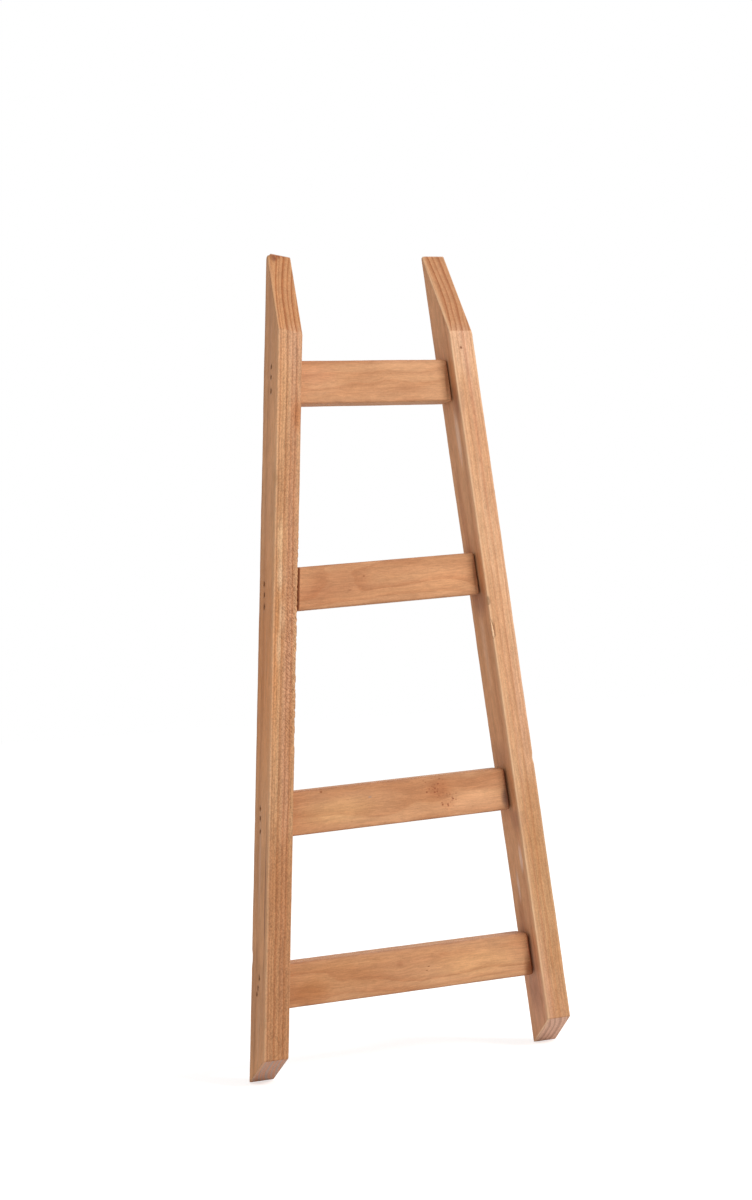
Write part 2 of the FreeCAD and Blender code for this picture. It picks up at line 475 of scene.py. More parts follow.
def sink_brads(board, places, marks):
    """A torn-edged pocket where each brad was driven below the surface, dark inside."""
    along, thick, wide = places.T
    skin = board.half[0] - np.abs(thick) < SKIN
    for middle, line, outer in pockets.get(board.node, ()):
        here = skin * (thick * outer > 0)
        turn = np.arctan2(wide - line, along - middle) * 2
        uneven = 1 + POCKET_UNEVENNESS * wobble(turn, 1.0, int(abs(middle) * PLACE_TO_SEED))
        away = np.hypot((along - middle) / (POCKET_LENGTH / 2), (wide - line) / (POCKET_WIDTH / 2))
        inside = bump((away / uneven - 1 + POCKET_WALL) / POCKET_WALL) * here
        places[:, 1] -= outer * inside * POCKET_DEPTH
        bruise = np.clip(BRUISE_REACH - away / uneven, 0, 1) * here
        marks[:, DIRT] = np.maximum(marks[:, DIRT], np.maximum(inside, BRUISE_SHARE * bruise))


def dent(board, places, marks):
    """Knocks and lifted fibres along the arrises."""
    for nick in NICKS.get(board.node, ()):
        along, thick, wide = to_board(board, np.array(nick.point))[0]
        near = bump(np.abs(places[:, 0] - along) / nick.length)
        near = near * bump(np.hypot(places[:, 1] - thick, places[:, 2] - wide) / NICK_REACH)
        places[:, 1] -= np.sign(thick) * near * nick.depth
        places[:, 2] -= np.sign(wide) * near * nick.depth
        marks[:, WEAR] = np.maximum(marks[:, WEAR], NICK_WEAR * near)


def tear_grain(board, places, marks):
    """Grain torn by the plane: a pitted front and a ragged inner arris."""
    for tear in TEARS.get(board.node, ()):
        along, thick, wide = places.T
        middle, reach = (tear.low + tear.high) / 2, (tear.high - tear.low) / 2
        patch = bump(np.abs(along - middle) / reach * TORN_NARROWING) ** 0.5
        inner = np.clip(TORN_MIDDLE - TORN_FALL * thick / board.half[0], 0, 1)
        patch = patch * inner * (wide > 0)
        front = patch * (board.half[1] - np.abs(wide) < TORN_SKIN)
        corner = np.hypot(board.half[0] - np.abs(thick), board.half[1] - np.abs(wide))
        arris = patch * bump(corner / RAGGED_REACH) * (thick < 0)
        pits = roughness(thick, along, PIT_PITCH, PIT_SEED)
        ragged = np.clip(wobble(along, RAGGED_PITCH, RAGGED_SEED) + RAGGED_BIAS, 0, 1)
        places[:, 2] -= front * tear.depth * np.clip(pits, 0, 1)
        places[:, 1] += arris * ragged * RAGGED_DEPTH
        marks[:, TORN] = np.maximum(marks[:, TORN], patch)


def groove_splinters(board, places, marks):
    """The grooves that splinters of the inner arris came out of."""
    for gap in SPLINTERS.get(board.node, ()):
        share = np.clip((places[:, 0] - gap.low) / (gap.high - gap.low), 0, 1)
        inside = np.minimum(share * GROOVE_RISES[0], (1 - share) * GROOVE_RISES[1])
        inside = np.clip(inside, 0, 1)
        corner = np.hypot(places[:, 1] - board.half[0], places[:, 2] - board.half[1])
        groove = inside * bump(corner / GROOVE_REACH)
        places[:, 1] -= groove * gap.depth
        places[:, 2] -= groove * gap.depth * GROOVE_SLANT
        marks[:, WEAR] = np.maximum(marks[:, WEAR], groove)
        marks[:, DIRT] = np.maximum(marks[:, DIRT], GROOVE_DIRT * groove * (1 - groove))


def sculpt(board, places):
    """A board's surface places after hand work and use, and the wear, dirt and torn grain there."""
    places = places.copy()
    marks = np.zeros((len(places), 3))
    rub_arrises(board, places, marks)
    sink_brads(board, places, marks)
    dent(board, places, marks)
    tear_grain(board, places, marks)
    groove_splinters(board, places, marks)
    hollow = HOLLOW_DEPTH * wobble(places[:, 0], HOLLOW_PITCH, HOLLOW_SEEDS[board.node])
    places[:, 1] -= np.abs(hollow) * np.sign(places[:, 1])
    return places, marks


# ---------------------------------------------------------------- boards, as meshes

# How uneven an arris is, in long waves and in short ones.
LONG_WAVES = {name: 0.45 for name in STILES}
LONG_WAVES.update({name: 0.15 for name in RUNGS})
LONG_WAVE_PITCH = 45.0 * MM
SHORT_WAVES = 0.2
SHORT_WAVE_PITCH = 9.0 * MM
ARRIS_SEEDS = {name: 500 + 10 * i for i, name in enumerate(BOARDS)}


def section_of(board):
    """The outline of a board's section, with fine lines where its brads and torn grain are."""
    fine = []
    for _, line, _ in pockets.get(board.node, ()):
        fine.append((line, POCKET_WIDTH * POCKET_CLEARANCE, FINE_PITCH))
    thick_pitch = TORN_THICK_PITCH if board.node in TEARS else THICK_PITCH
    arris = ARRIS[board.node]
    thick_lines = face_lines(board.half[0], (), thick_pitch, arris)
    wide_lines = face_lines(board.half[1], merged(fine), WIDE_PITCH, arris)
    return make_section(board.half, thick_lines, wide_lines)


def rows_along(board, flat_ring, easing):
    """Where along the grain each row of the skin lies, from one sawn end to the other."""
    low_ring = sawn_height(board, LOW, flat_ring, easing[LOW])
    high_ring = sawn_height(board, HIGH, flat_ring, easing[HIGH])
    low_clear, high_clear = low_ring.max() + END_MARGIN, high_ring.min() - END_MARGIN
    middle = stations(low_clear, high_clear, windows_of(board))
    share = (np.arange(END_STATIONS) / END_STATIONS)[:, None] ** END_CROWDING
    low_part = low_ring[None] * (1 - share) + low_clear * share
    high_part = (high_ring[None] * (1 - share) + high_clear * share)[::-1]
    return np.vstack([low_part, np.repeat(middle[:, None], len(flat_ring), axis=1), high_part])


def arris_radii(board, along):
    """The radii of a board's four arrises at places along its grain."""
    seed = ARRIS_SEEDS[board.node]
    radii = []
    for corner in range(4):
        waves = LONG_WAVES[board.node] * wobble(along, LONG_WAVE_PITCH, seed + corner)
        waves = waves + SHORT_WAVES * wobble(along, SHORT_WAVE_PITCH, seed + corner + 4)
        radii.append(ARRIS[board.node] * (1.0 + waves))
    return np.stack(radii, axis=1)


def cap_numbers(section, rim, first):
    """The numbers of the points over a sawn end, and which are new, inside its rim."""
    columns, rows = section.columns, section.rows
    numbers = np.full((columns + 1, rows + 1), -1)
    numbers[:, 0] = rim[:columns + 1]
    numbers[-1, :] = rim[columns:columns + rows + 1]
    numbers[:, -1] = rim[columns + rows:2 * columns + rows + 1][::-1]
    numbers[0, :] = np.append(rim[2 * columns + rows:], rim[0])[::-1]
    inner = numbers < 0
    numbers[inner] = first + np.arange(inner.sum())
    return numbers, inner


def board_arrays(board):
    """Every place on a board's skin, its quads, and how squarely each is sawn."""
    section = section_of(board)
    flat_ring = outline(section, np.full((1, 4), ARRIS[board.node]))[0]
    easing = {LOW: SAWN_ARRIS, HIGH: SAWN_ARRIS, **SOFT_ENDS.get(board.node, {})}
    along = rows_along(board, flat_ring, easing)
    rings = outline(section, arris_radii(board, along.mean(axis=1)))
    rings[0], rings[-1] = flat_ring, flat_ring

    index = np.arange(along.size).reshape(along.shape)
    places = [np.concatenate([along[:, :, None], rings], axis=2).reshape(-1, 3)]
    turned = np.roll(index, -1, axis=1)
    quads = np.stack([index[:-1], turned[:-1], turned[1:], index[1:]], axis=2).reshape(-1, 4)
    faces = [quads]
    cuts = [np.zeros(len(quads))]
    grid = cap_grid(section, flat_ring)
    for end, rim in ((LOW, index[0]), (HIGH, index[-1])):
        height = sawn_height(board, end, grid, easing[end])
        numbers, inner = cap_numbers(section, rim, sum(len(part) for part in places))
        places.append(np.concatenate([height[inner][:, None], grid[inner]], axis=1))
        cap = np.stack([numbers[:-1, :-1], numbers[1:, :-1], numbers[1:, 1:], numbers[:-1, 1:]],
                       axis=2).reshape(-1, 4)
        faces.append(cap if end == HIGH else cap[:, ::-1])
        cuts.append(across_grain(places, cap))
    return np.vstack(places), np.vstack(faces), np.concatenate(cuts)


def on_wide_face(board, places):
    """1 on a board's wide faces, 0 on its narrow ones and on the outer halves of its arrises."""
    return (board.half[0] - np.abs(places[:, 1]) < board.half[1] - np.abs(places[:, 2])) * 1.0


def across_grain(places, quads):
    """How squarely each face is sawn across the grain, 0 along it and 1 square to it."""
    corners = np.vstack(places)[quads]
    normals = np.cross(corners[:, 2] - corners[:, 0], corners[:, 3] - corners[:, 1])
    return (normals[:, 0] / np.linalg.norm(normals, axis=1)) ** 2


def new_piece(name, points, faces):
    """A piece of the ladder, from its points and faces."""
    mesh = bpy.data.meshes.new(name)
    mesh.from_pydata(points.tolist(), [], faces)
    mesh.update()
    mesh.shade_smooth()
    piece = bpy.data.objects.new(name, mesh)
    bpy.context.scene.collection.objects.link(piece)
    return piece


def store_marks(piece, grain, marks, faces):
    """Stores what the materials read: places in the grain in millimetres, marks and faces.

    marks are wear, dirt and torn grain at each point. faces say of each face whether it is on a
    wide side, and how squarely it is sawn."""
    stored = (("grain", "POINT", grain / MM), ("marks", "POINT", marks), ("faces", "FACE", faces))
    for name, domain, values in stored:
        layer = piece.data.attributes.new(name, "FLOAT_VECTOR", domain)
        layer.data.foreach_set("vector", np.ascontiguousarray(values, dtype=np.float32).ravel())


def make_board(board):
    """One board of the ladder, dressed and worn."""
    places, faces, cuts = board_arrays(board)
    shaped, marks = sculpt(board, places)
    piece = new_piece(board.node + "_wood", to_world(board, shaped), faces.tolist())
    flat = on_wide_face(board, shaped[faces].mean(axis=1)) * (cuts == 0)
    store_marks(piece, shaped, marks, np.stack((flat, cuts, np.zeros(len(cuts))), axis=1))
    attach(piece, "root")
    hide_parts(board.node)
    return piece


SLIVER_SIDES = 8
SLIVER_STEPS = 40
SLIVER_HALF = np.array((1.5, 1.7)) * MM
SLIVER_SEAT = np.array((0.90, 0.85))    # how much of that lies inside the board's edge
SLIVER_LIFT = 1.2 * MM
SLIVER_INSET = 0.05 * MM    # behind the front of the stile
SLIVER_UNEVENNESS = 0.22
SLIVER_WAVE_PITCH = 3.0 * MM
SLIVER_SEED = 611
SLIVER_BEND = 0.2 * MM
SLIVER_BEND_PITCH = 6.0 * MM
SLIVER_BEND_SEED = 612
SLIVER_RISES = (5, 2.2)     # how steeply it thickens from its foot and from its tip
SLIVER_ENDS = (0.1, 0.04)   # how thick the foot and the tip are, as shares of its middle


def make_sliver(board, gap):
    """The splinter itself: a thin sliver, fast at its foot and lifted off the arris above."""
    share = np.linspace(0, 1, SLIVER_STEPS)
    along = gap.low + (gap.high - gap.low) * share
    from_foot = share * SLIVER_RISES[0] + SLIVER_ENDS[0]
    from_tip = (1 - share) * SLIVER_RISES[1] + SLIVER_ENDS[1]
    taper = np.clip(np.minimum(from_foot, from_tip), 0, 1)
    taper = taper * (1 + SLIVER_UNEVENNESS * wobble(along, SLIVER_WAVE_PITCH, SLIVER_SEED))
    bend = SLIVER_BEND * wobble(along, SLIVER_BEND_PITCH, SLIVER_BEND_SEED)
    thick, wide = board.half - SLIVER_HALF * SLIVER_SEAT
    thick, wide = thick + SLIVER_LIFT * share ** 2, wide - bend
    turn = np.arange(SLIVER_SIDES) * 2 * math.pi / SLIVER_SIDES
    places = np.stack([
        np.repeat(along[:, None], SLIVER_SIDES, axis=1),
        thick[:, None] + np.outer(taper * SLIVER_HALF[0], np.cos(turn)),
        wide[:, None] + np.outer(taper * SLIVER_HALF[1], np.sin(turn))], axis=2).reshape(-1, 3)
    places[:, 2] = np.minimum(places[:, 2], board.half[1] - SLIVER_INSET)
    index = np.arange(SLIVER_STEPS * SLIVER_SIDES).reshape(SLIVER_STEPS, SLIVER_SIDES)
    turned = np.roll(index, -1, axis=1)
    faces = np.stack([index[:-1], turned[:-1], turned[1:], index[1:]], axis=2).reshape(-1, 4)
    faces = faces.tolist() + [index[0][::-1].tolist(), index[-1].tolist()]
    piece = new_piece(board.node + "_sliver", to_world(board, places), faces)
    unmarked, uncut = np.zeros(places.shape), np.zeros((len(faces), 3))
    store_marks(piece, places, unmarked, uncut)
    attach(piece, "root")
    return piece


# ---------------------------------------------------------------- node trees

def screen(red, green, blue):
    """A colour as a screen shows it, 0 to 255, in the linear values that a shader takes."""
    values = [c / 255 for c in (red, green, blue)]
    linear = [c / 12.92 if c <= 0.04045 else ((c + 0.055) / 1.055) ** 2.4 for c in values]
    return (*linear, 1.0)


class Tree:
    """Adds nodes to a material's tree or a group's, and feeds each socket a value or a link."""

    def __init__(self, tree):
        self.tree = tree

    def node(self, kind, feeds=(), **settings):
        added = self.tree.nodes.new("ShaderNode" + kind)
        for name, value in settings.items():
            setattr(added, name, value)
        for socket, value in dict(feeds).items():
            self.feed(added.inputs[socket], value)
        return added

    def feed(self, socket, value):
        if isinstance(value, bpy.types.NodeSocket):
            self.tree.links.new(value, socket)
        elif socket.type == "VECTOR":
            socket.default_value = value[:3]
        else:
            socket.default_value = value

    def math(self, operation, *values, clamp=False):
        feeds = dict(enumerate(values))
        return self.node("Math", feeds, operation=operation, use_clamp=clamp).outputs[0]

    def vector(self, operation, *values):
        added = self.node("VectorMath", dict(enumerate(values)), operation=operation)
        return added.outputs["Value" if operation == "LENGTH" else "Vector"]

    def scaled(self, colour, factor):
        feeds = {0: colour, "Scale": factor}
        return self.node("VectorMath", feeds, operation="SCALE").outputs["Vector"]

    def noise(self, vector, detail=2.0, rough=0.5, twist=0.0, scale=1.0):
        feeds = {"Vector": vector, "Scale": scale, "Detail": detail, "Roughness": rough,
                 "Distortion": twist}
        return self.node("TexNoise", feeds).outputs["Fac"]

    def streaks(self, grain, look):
        """Noise drawn out along the grain."""
        stretch = (look.along, look.across, look.across)
        return self.noise(self.vector("MULTIPLY", grain, stretch), look.detail, look.rough,
                          look.twist)

    def steps(self, value, low, high, to_low=0.0, to_high=1.0):
        """A smooth step from one level to another, as the value goes from low to high."""
        feeds = {0: value, 1: low, 2: high, 3: to_low, 4: to_high}
        return self.node("MapRange", feeds, interpolation_type="SMOOTHSTEP").outputs[0]

    def spread(self, mask, at_none, at_full):
        """A smooth step from one level to another, as a mask goes from 0 to 1."""
        return self.steps(mask, 0.0, 1.0, at_none, at_full)

    def blend(self, factor, first, second):
        added = self.node("Mix", {0: factor, 6: first, 7: second}, data_type="RGBA")
        return added.outputs[2]

    def tint(self, colour, mask, share, other):
        """A colour turned into another, by a share of a mask."""
        return self.blend(self.math("MULTIPLY", mask, share), colour, other)


def new_group(name, inputs, outputs):
    """A shader group with named inputs and outputs: its tree, its sockets in and its sockets out."""
    group = bpy.data.node_groups.new(name, "ShaderNodeTree")
    for label, kind, value in inputs:
        socket = group.interface.new_socket(label, in_out="INPUT", socket_type="NodeSocket" + kind)
        socket.default_value = value
    for label, kind in outputs:
        group.interface.new_socket(label, in_out="OUTPUT", socket_type="NodeSocket" + kind)
    entry, leave = group.nodes.new("NodeGroupInput"), group.nodes.new("NodeGroupOutput")
    return Tree(group), entry.outputs, leave.inputs


# ---------------------------------------------------------------- the shared effects

GRAIN_INPUT = ("Grain", "Vector", (0, 0, 0))
CENTRE_INPUT = ("Centre", "Vector", (0, 0, 0))
NARROWING_INPUT = ("Narrowing", "Vector", (1, 1, 1))
GRAIN_INPUTS = (GRAIN_INPUT, ("Shift", "Vector", (0, 0, 0)))

# Noise along the grain: its cycles to a millimetre along and across, and how fine, rough and
# twisted it is. It shows from its low level up, and fully from its high one.
Streaks = namedtuple("Streaks", "along across detail rough twist low high",
                     defaults=(2.0, 0.5, 0.0, 0.0, 1.0))
FIBRES = {
    "Streak": Streaks(0.010, 0.38, 3.0, 0.60, 0.0, 0.30, 0.70),
    "Dash": Streaks(0.075, 0.85, 3.0, 0.62, 0.0, 0.32, 0.68),
    "Nap": Streaks(0.34, 0.50, 3.0, 0.75, 0.0, 0.34, 0.66),
    "Duct": Streaks(0.11, 1.3, 1.0, 0.50, 0.0, 0.69, 0.76),
}
FIBRE_HEIGHTS = {"Dash": 0.6, "Nap": 0.4}
STAINS = {
    "Cloud": Streaks(0.007, 0.024, 3.0, 0.5, 0.4, 0.36, 0.64),
    "Band": Streaks(0.0016, 0.075, 2.0, 0.5, 0.0, 0.34, 0.66),
    "Patch": Streaks(0.03, 0.11, 3.0, 0.6, 0.6, 0.34, 0.66),
}

SWAY_STRETCH = (0.0075, 0.013, 0.013)
SWAY_DETAIL = 1.5


def flow_group():
    """Grain that isn't quite straight: slow waves across it."""
    tree, given, out = new_group("Grain_flow", GRAIN_INPUTS + (("Sway", "Float", 2.0),),
                                 (("Grain", "Vector"),))
    moved = tree.vector("ADD", given["Grain"], given["Shift"])
    slow = tree.vector("MULTIPLY", moved, SWAY_STRETCH)
    feeds = {"Vector": slow, "Scale": 1.0, "Detail": SWAY_DETAIL}
    wave = tree.node("TexNoise", feeds).outputs["Color"]
    wave = tree.vector("MULTIPLY", tree.vector("SUBTRACT", wave, (0.5, 0.5, 0.5)), (0, 2, 2))
    tree.feed(out["Grain"], tree.vector("ADD", given["Grain"], tree.scaled(wave, given["Sway"])))
    return tree.tree


SWIRL_STRETCH = (0.45, 0.0, 1.0)
SWIRL_PUSH = (0, 0, -0.6)


def swirl_group():
    """Grain that parts round a knot."""
    inputs = (GRAIN_INPUT, CENTRE_INPUT, ("Reach", "Float", 10.0))
    tree, given, out = new_group("Grain_round_knot", inputs, (("Grain", "Vector"),))
    away = tree.vector("SUBTRACT", given["Grain"], given["Centre"])
    distance = tree.vector("LENGTH", tree.vector("MULTIPLY", away, SWIRL_STRETCH))
    near = tree.steps(tree.math("DIVIDE", distance, given["Reach"]), 0.0, 1.0, 1.0, 0.0)
    push = tree.scaled(tree.vector("MULTIPLY", away, SWIRL_PUSH), near)
    tree.feed(out["Grain"], tree.vector("ADD", given["Grain"], push))
    return tree.tree


SLOW_WANDER = Streaks(0.0028, 0.016)
QUICK_WANDER = Streaks(0.02, 0.06, 3.0, 0.55)
QUICK_SHARE = 0.16
WANDER_MIDDLE = 0.58
YEAR_PITCH = 0.6            # how often wide and narrow years change over
YEAR_UNEVENNESS = 1.6
LATE_RISE = (0.35, 0.88)    # when in the year late wood starts, and is full
LATE_END = (0.90, 1.0)
WEAKEST_YEAR = 0.5


def ring_group():
    """Growth rings: light wood that darkens slowly to the end of each year's growth."""
    inputs = (("Pith", "Vector", (0, 120, 0)), ("Ring width", "Float", 6.5),
              ("Wander", "Float", 8.0))
    tree, given, out = new_group("Growth_rings", GRAIN_INPUTS + inputs,
                                 (("Late wood", "Float"),))
    moved = tree.vector("ADD", given["Grain"], given["Shift"])
    slow = tree.streaks(moved, SLOW_WANDER)
    quick = tree.streaks(moved, QUICK_WANDER)
    from_pith = tree.vector("SUBTRACT", given["Grain"], given["Pith"])
    radius = tree.vector("LENGTH", tree.vector("MULTIPLY", from_pith, (0, 1, 1)))
    waves = tree.math("SUBTRACT", tree.math("MULTIPLY_ADD", quick, QUICK_SHARE, slow),
                      WANDER_MIDDLE)
    radius = tree.math("MULTIPLY_ADD", waves, given["Wander"], radius)
    years = tree.math("DIVIDE", radius, given["Ring width"])
    uneven = tree.noise(tree.node("CombineXYZ", {0: years}).outputs[0], 1.0, scale=YEAR_PITCH)
    years = tree.math("MULTIPLY_ADD", uneven, YEAR_UNEVENNESS, years)
    season = tree.math("FRACT", years)
    rise = tree.steps(season, *LATE_RISE)
    fall = tree.steps(season, *LATE_END, 1.0, 0.0)
    year = tree.node("TexWhiteNoise", {"W": tree.math("FLOOR", years)},
                     noise_dimensions="1D").outputs["Value"]
    strength = tree.math("MULTIPLY_ADD", year, 1 - WEAKEST_YEAR, WEAKEST_YEAR)
    late = tree.math("MULTIPLY", tree.math("MULTIPLY", rise, fall), strength)
    tree.feed(out["Late wood"], late)
    return tree.tree


def streaks_group(name, kinds, more_outputs=()):
    """A group of streaks of several kinds: its tree, its sockets out and its plain noises."""
    outputs = tuple((label, "Float") for label in (*kinds, *more_outputs))
    tree, given, out = new_group(name, GRAIN_INPUTS, outputs)
    moved = tree.vector("ADD", given["Grain"], given["Shift"])
    plain = {label: tree.streaks(moved, look) for label, look in kinds.items()}
    for label, look in kinds.items():
        tree.feed(out[label], tree.steps(plain[label], look.low, look.high))
    return tree, out, plain


def fibre_group():
    """The fibres: long streaks, short dashes, the nap that a saw leaves, and resin ducts."""
    tree, out, plain = streaks_group("Wood_fibre", FIBRES, ("Height",))
    parts = [tree.math("MULTIPLY", plain[label], high) for label, high in FIBRE_HEIGHTS.items()]
    tree.feed(out["Height"], tree.math("ADD", *parts))
    return tree.tree


def stain_group():
    """Stain taken up unevenly: broad clouds, bands along the grain and smaller patches."""
    return streaks_group("Stain_uptake", STAINS)[0].tree


FLECKS = Streaks(0.21, 0.62, 2.0, 0.7, 0.0, 0.36, 0.62)
FLECK_SLANT = math.radians(-38)


def torn_group():
    """Torn grain: short slanting flecks, raised and sunk."""
    tree, given, out = new_group("Torn_grain", (GRAIN_INPUT, ("Torn", "Float", 0.0)),
                                 (("Fleck", "Float"), ("Height", "Float")))
    turn = tree.node("VectorRotate", {"Vector": given["Grain"], "Angle": FLECK_SLANT},
                     rotation_type="Z_AXIS").outputs[0]
    sharp = tree.steps(tree.streaks(turn, FLECKS), FLECKS.low, FLECKS.high)
    tree.feed(out["Fleck"], tree.math("MULTIPLY", tree.math("SUBTRACT", sharp, 0.5), given["Torn"]))
    tree.feed(out["Height"], tree.math("MULTIPLY", sharp, given["Torn"]))
    return tree.tree


EDGE_ROUGHNESS = 0.6


def ragged_distance(tree, given, detail, scale, raggedness):
    """The distance from a mark's centre, 1 at its reach, with a ragged edge."""
    away = tree.vector("SUBTRACT", given["Grain"], given["Centre"])
    away = tree.vector("MULTIPLY", away, given["Narrowing"])
    wave = tree.math("SUBTRACT", tree.noise(away, detail, EDGE_ROUGHNESS, scale=scale), 0.5)
    return tree.math("MULTIPLY_ADD", wave, raggedness, tree.vector("LENGTH", away))


def spot_group():
    """A soft-edged spot, drawn out along the grain as far as its reach says."""
    inputs = (GRAIN_INPUT, CENTRE_INPUT, NARROWING_INPUT, ("Raggedness", "Float", 0.3),
              ("Core", "Float", 0.2))
    tree, given, out = new_group("Soft_spot", inputs, (("Mask", "Float"),))
    distance = ragged_distance(tree, given, 3.0, 2.4, given["Raggedness"])
    tree.feed(out["Mask"], tree.steps(distance, given["Core"], 1.0, 1.0, 0.0))
    return tree.tree


CLUSTER_RAGGEDNESS = 0.8
CLUSTER_CORE = 0.45
PIP_STRETCH = (0.21, 0.0, 0.26)
PIP_EDGE = (0.18, 0.46)
PIP_SIZES = (0.1, 0.6)


def pips_group():
    """Small dark pips, scattered thickly at the middle of a cluster and thinly round it."""
    inputs = (GRAIN_INPUT, CENTRE_INPUT, NARROWING_INPUT)
    tree, given, out = new_group("Knot_pips", inputs, (("Mask", "Float"),))
    distance = ragged_distance(tree, given, 2.0, 2.0, CLUSTER_RAGGEDNESS)
    near = tree.steps(distance, CLUSTER_CORE, 1.0, 1.0, 0.0)
    place = tree.vector("MULTIPLY", given["Grain"], PIP_STRETCH)
    cells = tree.node("TexVoronoi", {"Vector": place, "Scale": 1.0})
    pip = tree.steps(cells.outputs["Distance"], *PIP_EDGE, 1.0, 0.0)
    size = tree.node("SeparateXYZ", {0: cells.outputs["Color"]}).outputs[0]
    pip = tree.math("MULTIPLY", pip, tree.steps(size, *PIP_SIZES))
    tree.feed(out["Mask"], tree.math("MULTIPLY", pip, near))
    return tree.tree


GROUPS = {"flow": flow_group(), "swirl": swirl_group(), "rings": ring_group(),
          "fibre": fibre_group(), "stain": stain_group(), "torn": torn_group(),
          "spot": spot_group(), "pips": pips_group()}


def place_group(tree, name, **feeds):
    """Puts a shared group in a material, with its own values."""
    added = tree.node("Group", node_tree=GROUPS[name])
    for label, value in feeds.items():
        tree.feed(added.inputs[label.replace("_", " ")], value)
    return added.outputs


# ---------------------------------------------------------------- finishes

# honey, pink and amber are the stain on light wood, on pinker wood and where it took well. late
# is the stain on late wood, and its share says how strong the rings look. flat is the stain on
# the wide faces, where the rings lie flat. slope and slope_late are the same on a slanting cut,
# and cut and cut_late on sawn ends. nap is how furry the saw left the wood. worn is the colour
# of a rubbed arris, and wear how much of it shows. On the rungs worn is darker than the wood,
# so there it darkens every arris.
Finish = namedtuple("Finish", "honey pink amber flat late late_share slope slope_late "
                              "slope_share cut cut_late nap worn wear")

LEFT_PINE = Finish(
    honey=screen(204, 155, 112), pink=screen(199, 145, 109), amber=screen(184, 128, 84),
    flat=screen(216, 154, 104), late=screen(150, 86, 44), late_share=0.55,
    slope=screen(194, 137, 92), slope_late=screen(152, 82, 38), slope_share=0.85,
    cut=screen(210, 157, 130), cut_late=screen(192, 166, 152), nap=0.20,
    worn=screen(232, 190, 148), wear=0.48)
RIGHT_PINE = Finish(
    honey=screen(220, 173, 131), pink=screen(211, 159, 125), amber=screen(202, 145, 102),
    flat=screen(218, 158, 112), late=screen(176, 110, 70), late_share=0.45,
    slope=screen(184, 129, 88), slope_late=screen(146, 80, 40), slope_share=0.75,
    cut=screen(230, 186, 160), cut_late=screen(202, 158, 136), nap=0.12,
    worn=screen(240, 200, 158), wear=0.8)
# worn here is darker than the wood: it darkens every rung arris.
RUNG_PINE = Finish(
    honey=screen(214, 163, 117), pink=screen(200, 143, 107), amber=screen(190, 130, 87),
    flat=screen(205, 151, 109), late=screen(164, 98, 58), late_share=0.36,
    slope=screen(128, 76, 44), slope_late=screen(100, 58, 34), slope_share=0.3,
    cut=screen(128, 74, 44), cut_late=screen(100, 58, 34), nap=0.16,
    worn=screen(156, 106, 80), wear=0.5)
FRESH_PINE = LEFT_PINE._replace(
    honey=screen(255, 228, 194), pink=screen(255, 218, 180), amber=screen(252, 206, 160),
    late_share=0.15, nap=0.05)

FINISHES = {"left_stile": LEFT_PINE, "right_stile": RIGHT_PINE,
            **dict.fromkeys(RUNGS, RUNG_PINE)}

# Each board was sawn from another part of the tree. The pith lies across the thickness and
# width from the board's middle, and sway is how far its fibres wave, all in millimetres.
Log = namedtuple("Log", "pith ring wander sway shift")
LOGS = {
    "left_stile": Log((0, -105, 22), 6.4, 7.0, 1.5, (211.0, 37.0, 5.0)),
    "right_stile": Log((0, 118, -10), 7.4, 8.0, 2.0, (871.0, 91.0, 43.0)),
    "top_rung": Log((0, -62, 22), 7.5, 16.0, 7.0, (97.0, 11.0, 61.0)),
    "upper_rung": Log((0, -70, -16), 7.0, 18.0, 8.0, (1217.0, 57.0, 19.0)),
    "lower_rung": Log((0, -55, -8), 7.5, 16.0, 8.0, (1733.0, 71.0, 83.0)),
    "bottom_rung": Log((0, -70, -16), 7.0, 18.0, 8.0, (517.0, 23.0, 7.0)),
}

# Pin knots, tar and grime, and wood that is lighter or darker than its board. Some are painted
# shade: the dark bands at the rungs' right ends, round the joints on the right stile's inner
# face and towards the foot of each stile's front.
SHADES = {name: screen(*levels) for name, levels in (
    ("knot", (122, 68, 38)), ("pip", (128, 62, 38)), ("knot_ring", (160, 100, 66)),
    ("speck", (150, 134, 126)), ("tar", (118, 56, 36)), ("grime", (58, 24, 12)),
    ("joint_painted_shade", (64, 46, 54)), ("joint_painted_shade_edge", (90, 60, 50)), ("bottom_joint_painted_shade", (134, 76, 42)),
    ("end_painted_shade", (140, 86, 54)), ("top_end_painted_shade", (150, 90, 54)), ("russet", (176, 106, 66)),
    ("dusky", (166, 102, 54)), ("tawny", (178, 116, 78)), ("brown", (184, 124, 86)),
    ("sandy", (180, 116, 62)), ("rosy", (150, 98, 74)), ("ochre", (174, 123, 71)),
    ("darker", (172, 112, 70)), ("orange", (186, 112, 62)), ("pinkish", (206, 142, 104)),
    ("tan", (210, 147, 98)), ("amber", (216, 134, 66)), ("blush", (216, 158, 130)),
    ("golden", (222, 160, 112)), ("wheat", (224, 168, 116)), ("straw", (224, 172, 118)),
    ("buttery", (230, 172, 128)), ("sunny", (235, 167, 113)), ("pale", (230, 184, 152)),
    ("ivory", (236, 196, 150)), ("cream", (242, 206, 166)), ("silvered", (204, 162, 134)),
    ("greyed", (246, 212, 186)),
)}

